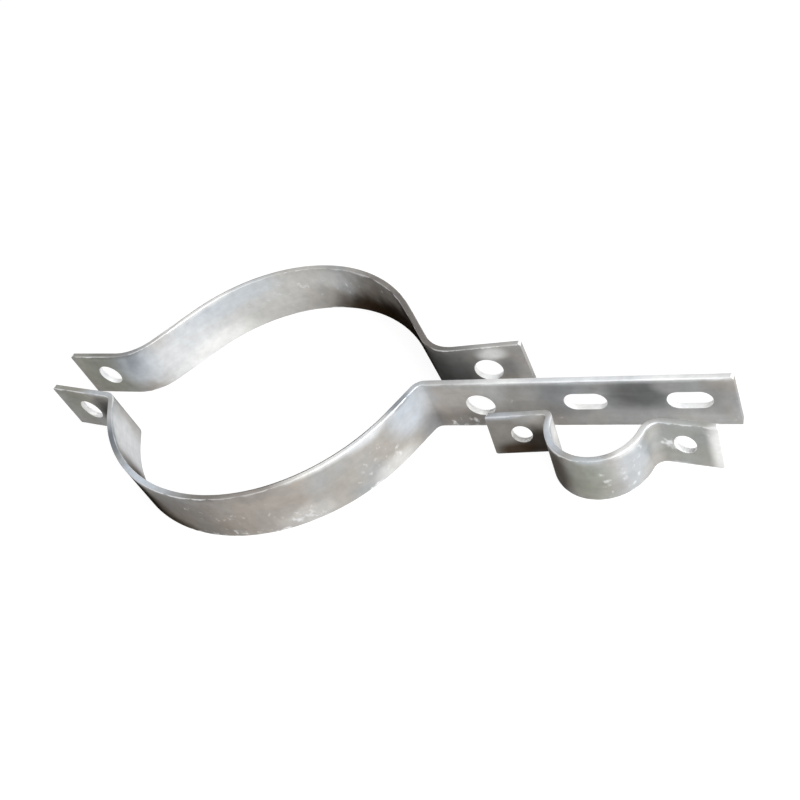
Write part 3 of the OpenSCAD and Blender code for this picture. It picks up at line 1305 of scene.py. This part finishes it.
FRONT_FINISH = ZincFinish(
    name="zinc_front", bar_height=BAND_WIDTH, seed=0.0,
    patches=(
        # Plain ear and the flank behind it, with painted light on the flank's inner face
        Patch((-224, -8, 26), (26, 14, 30), Tone.SAGE, 0.6),
        Patch((-196, -12, 14), (18, 16, 32), Tone.SLATE, 0.85),
        Patch((-169, -45, 16), (24, 38, 50), Tone.FROST, 0.85),
        # Seat, from its shaded side to its bright one, in painted shade and painted light among its own
        # tones
        Patch((-136, -82, 12), (46, 38, 40), Tone.UMBER, 0.75),
        Patch((-90, -99, 16), (60, 28, 44), Tone.BROWN, 0.42),
        Patch((-132, -83, 10), (21, 24, 38), Tone.SHADE_BLACK, 0.84),
        Patch((-110, -95, 1), (34, 16, 12), Tone.UMBER, 0.6),
        Patch((-30, -97, 20), (60, 28, 36), Tone.WARM, 0.5),
        Patch((-34, -97, 38), (34, 14, 8), Tone.TAUPE, 0.35),
        Patch((-5, -88, 6), (30, 26, 14), Tone.WHITE, 0.3),
        Patch((38, -47, 3), (22, 28, 12), Tone.WHITE, 0.5),
        Patch((50, -26, 30), (22, 24, 24), Tone.ICE, 0.7),
        Patch((55, -16, 7), (14, 16, 16), Tone.STEEL, 0.6),
        # Arm, lightened by painted light where the saddle shades it
        Patch((72, -12, 27), (30, 14, 18), Tone.WARM, 0.2),
        Patch((74, -12, 8), (30, 14, 13), Tone.BROWN, 0.36),
        Patch((116, -12, 28), (26, 14, 24), Tone.SILVER, 0.5),
        Patch((146, -12, 26), (26, 14, 28), Tone.STEEL, 0.4),
        Patch((190, -12, 30), (30, 14, 22), Tone.SLATE, 0.78),
        Patch((208, -12, 34), (12, 14, 9), Tone.SILVER, 0.6),
        Patch((190, -12, 5), (56, 14, 14), Tone.SILVER, 0.6),
        Patch((234, -12, 22), (22, 14, 20), Tone.STEEL, 0.25),
        # Upper edge, with painted highlights and painted shade
        Patch((-197, -14, 42), (24, 10, 6), Tone.ICE, 0.6),
        Patch((-162, -54, 42), (26, 32, 7), Tone.STEEL, 1.0),
        Patch((-120, -88, 42), (50, 34, 6), Tone.ICE, 1.0),
        Patch((-60, -101, 42), (24, 12, 6), Tone.TAUPE, 0.7),
        Patch((14, -71, 42), (44, 44, 6), Tone.WHITE, 0.9),
        Patch((33, -52, 41), (24, 30, 9), Tone.FROST, 0.85),
        Patch((47, -28, 42), (11, 16, 6), Tone.STEEL, 0.75),
        Patch((172, -12, 42), (132, 12, 6), Tone.FROST, 0.9),
        Patch((108, -12, 42), (24, 12, 5), Tone.WHITE, 0.6),
        Patch((216, -12, 42), (36, 12, 5), Tone.WHITE, 0.7),
    ),
    splashes=(
        Patch((-8, -89, 8), (24, 20, 18)),
        Patch((33, -55, 14), (34, 38, 26), strength=0.8),
        Patch((-60, -102, 4), (60, 14, 10), strength=0.8),
        Patch((76, -12, 4), (26, 8, 10)),
        Patch((132, -12, 8), (18, 8, 12), strength=0.8),
        Patch((244, -12, 14), (10, 8, 26), strength=0.8),
        Patch((-50, -98, 16), (90, 40, 30), strength=0.6),
        Patch((110, -12, 22), (60, 10, 24), strength=0.5),
        # Along the seat's lower edge
        Patch((-92, -98, 0), (12, 10, 4), strength=1.4),
        Patch((-28, -96, 0), (18, 10, 4), strength=1.3),
        Patch((28, -60, 0), (12, 14, 5), strength=1.4),
    ),
    lines=(
        # A painted shade line along the seat's inner upper edge
        PaintedShadeLine((-66.4, 21.9), 121.4, 2.0, 39.0, Patch((8, -70, 40), (76, 70, 12), Tone.SHADE_BLACK, 0.9)),
    ),
)
REAR_FINISH = ZincFinish(
    name="zinc_rear", bar_height=BAND_WIDTH, seed=3.1,
    patches=(
        # Left ear
        Patch((-222, 20, 22), (34, 16, 36), Tone.SAGE, 0.7),
        Patch((-188, 23, 27), (28, 18, 24), Tone.ICE, 0.7),
        # Left flank and crown, lightened as painted light, most on the flank
        Patch((-112, 88, 22), (66, 44, 50), Tone.PEARL, 0.6),
        Patch((-160, 48, 16), (42, 42, 44), Tone.FROST, 0.8),
        Patch((-148, 62, 2), (46, 46, 20), Tone.WHITE, 0.85),
        Patch((-132, 76, 35), (56, 46, 14), Tone.ICE, 0.55),
        Patch((-66, 98, 31), (36, 20, 14), Tone.PEARL, 0.5),
        # Shaded right half, in painted shade
        Patch((0, 80, 20), (48, 36, 36), Tone.BROWN, 0.6),
        Patch((-24, 92, 0), (46, 30, 24), Tone.UMBER, 0.95),
        Patch((6, 76, 6), (42, 40, 24), Tone.SHADE_BLACK, 0.88),
        Patch((36, 42, 16), (44, 48, 60), Tone.SHADE_BLACK, 0.98),
        Patch((32, 46, 16), (20, 22, 44), Tone.SHADE_BLACK, 0.9),
        # Right ear, darkened as painted shade where it faces the arm
        Patch((68, 14, 20), (28, 20, 36), Tone.SLATE, 0.83),
        Patch((104, 16, 22), (10, 8, 12), Tone.STEEL, 0.45),
        Patch((96, 15, 34), (14, 9, 7), Tone.WHITE, 1.0),
        Patch((116, 17, 18), (12, 10, 30), Tone.SILVER, 0.5),
        # Upper edge, with painted highlights and painted shade
        Patch((-202, 24, 42), (38, 16, 6), Tone.TAUPE, 0.65),
        Patch((-145, 66, 42), (52, 50, 6), Tone.WHITE, 0.9),
        Patch((34, 44, 41), (56, 60, 7), Tone.TAUPE, 1.0),
    ),
    splashes=(
        Patch((-78, 98, 26), (22, 12, 12), strength=0.8),
        Patch((-35, 95, 22), (26, 16, 12), strength=0.8),
        Patch((5, 74, 30), (26, 26, 10), strength=0.7),
        Patch((-90, 94, 20), (90, 50, 34), strength=0.55),
    ),
    lines=(
        # A painted shade line along the seat's outer upper edge
        PaintedShadeLine((-64.2, -11.9), 114.6, 1.6, 39.0, Patch((-128, 76, 40), (60, 56, 12), Tone.UMBER, 0.85)),
    ),
)
# The saddle's bar leans, and so stands a little lower than it is wide
SADDLE_FINISH = ZincFinish(
    name="zinc_saddle", bar_height=29.7, seed=6.4,
    patches=(
        # Left ear, darkened low down and towards the seat as painted shade
        Patch((108, -32, 16), (26, 12, 30), Tone.BROWN, 0.5),
        Patch((132, -33, 9), (18, 10, 16), Tone.SHADE_BLACK, 0.75),
        Patch((116, -34, 3), (20, 10, 9), Tone.UMBER, 0.9),
        # Seat, with painted shade on its left side and painted light on its right side and inner edge
        Patch((147, -56, 13), (18, 22, 28), Tone.UMBER, 0.64),
        Patch((144, -35, 16), (4, 12, 30), Tone.WHITE, 1.0),
        Patch((167, -65, 15), (18, 12, 26), Tone.SAGE, 0.7),
        Patch((192, -54, 17), (13, 18, 24), Tone.ICE, 0.4),
        # Right ear
        Patch((219, -38, 15), (26, 12, 30), Tone.SAGE, 0.34),
        Patch((238, -42, 13), (9, 11, 32), Tone.WHITE, 1.0),
        # Upper edge, with painted highlights
        Patch((110, -33, 31), (22, 9, 5), Tone.ICE, 0.65),
        Patch((145, -47, 31), (18, 24, 5), Tone.ICE, 0.7),
        Patch((170, -66, 31), (20, 12, 5), Tone.ICE, 0.5),
        Patch((204, -40, 31), (12, 9, 5), Tone.ICE, 0.5),
        Patch((193, -52, 30), (16, 22, 5), Tone.WHITE, 0.6),
    ),
    splashes=(
        Patch((182, -61, 14), (22, 18, 24), strength=0.85),
        Patch((193, -50, 18), (12, 16, 20), strength=0.85),
        Patch((208, -38, 13), (10, 8, 13), strength=1.15),
        Patch((238, -39, 16), (8, 7, 24), strength=1.1),
        Patch((229, -38, 25), (10, 7, 6), strength=1.1),
    ),
)
# Its bar is given as taller than any, so that the scuffs and painted highlights of an upper edge stay off
# the cut faces
# Its near-white tones are painted light and reflection on the cut faces
CUT_FINISH = ZincFinish(
    name="zinc_in_holes_painted_light", bar_height=400.0,
    cool=(0.95, 0.96, 0.97), warm=(0.94, 0.93, 0.90),
)


def straps() -> tuple[Strap, ...]:
    """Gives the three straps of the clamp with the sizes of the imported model.

    Returns:
        The front band, the rear band and the cable saddle.
    """
    band_tip = 26.0
    band_hole = {"height": 18.5, "length": 18.5}
    slot = {"height": 14.0, "length": 26.0, "rise": 2.0}
    saddle_hole = {"from_tip": 20.0, "height": 13.0, "length": 13.0}
    front = Strap(
        node="front_band", width=BAND_WIDTH, seat=121.0, bulge=Bulge.FRONT, turn=0.0,
        left=StrapEnd(arc=65.0, flank=11.0, bend=7.0, splay=-9.0, ear=54.5),
        right=StrapEnd(arc=62.5, flank=21.5, bend=6.0, splay=0.0, ear=184.5),
        punches=(
            Punch(End.LEFT, from_tip=band_tip, **band_hole),
            Punch(End.RIGHT, from_tip=153.0, **band_hole),
            Punch(End.RIGHT, from_tip=86.5, **slot),
            Punch(End.RIGHT, from_tip=band_tip, **slot),
        ),
        finish=FRONT_FINISH,
    )
    rear = Strap(
        node="rear_band", width=BAND_WIDTH, seat=111.0, bulge=Bulge.REAR, turn=-2.5,
        left=StrapEnd(arc=51.5, flank=36.0, bend=35.0, splay=0.0, ear=41.5),
        right=StrapEnd(arc=51.0, flank=36.0, bend=24.0, splay=6.5, ear=44.5),
        punches=tuple(Punch(which, from_tip=band_tip, **band_hole) for which in End),
        finish=REAR_FINISH,
    )
    saddle = Strap(
        node="cable_saddle", width=30.0, seat=26.5, bulge=Bulge.FRONT, turn=-3.5, lean=8.5,
        left=StrapEnd(arc=89.5, flank=0.0, bend=2.0, splay=7.0, ear=35.5),
        right=StrapEnd(arc=78.5, flank=0.0, bend=7.0, splay=5.0, ear=31.5),
        punches=tuple(Punch(which, **saddle_hole) for which in End),
        finish=SADDLE_FINISH,
    )
    return front, rear, saddle


def beads() -> dict[str, ZincBeads]:
    """Gives the beads of zinc on each strap.

    Returns:
        The beads, by the node of the strap that they sit on.
    """
    return {
        "front_band": ZincBeads("front_band_beads", per_square_cm=0.3, size=0.5, seed=11,
                                low=Vector((-60, -110, 3)), high=Vector((70, -10, 20))),
        "rear_band": ZincBeads("rear_band_beads", per_square_cm=0.12, size=0.5, seed=12,
                               low=Vector((-130, 40, 2)), high=Vector((40, 110, 38))),
        "cable_saddle": ZincBeads("cable_saddle_beads", per_square_cm=0.5, size=0.45, seed=13,
                                  low=Vector((150, -80, 3)), high=Vector((245, -20, 27))),
    }


def main() -> None:
    """Builds the studio and the three straps in order."""
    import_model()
    bpy.context.scene.view_settings.view_transform = "Standard"
    StudioCamera().build()
    Studio().build()
    patterns = build_patterns()
    sweep, scatter = build_bar_sweep(), build_bead_scatter()
    hole_material = CUT_FINISH.build(patterns)
    for strap in straps():
        material = strap.finish.build(patterns)
        piece = strap.build(sweep, material, hole_material)
        drops = beads()[strap.node].build(piece, scatter, material)
        for made in (piece, drops):
            LOG.info("built %s with %d faces", made.name, len(made.data.polygons))


if __name__ == "__main__":
    logging.basicConfig(level=logging.INFO, format="%(message)s")
    main()
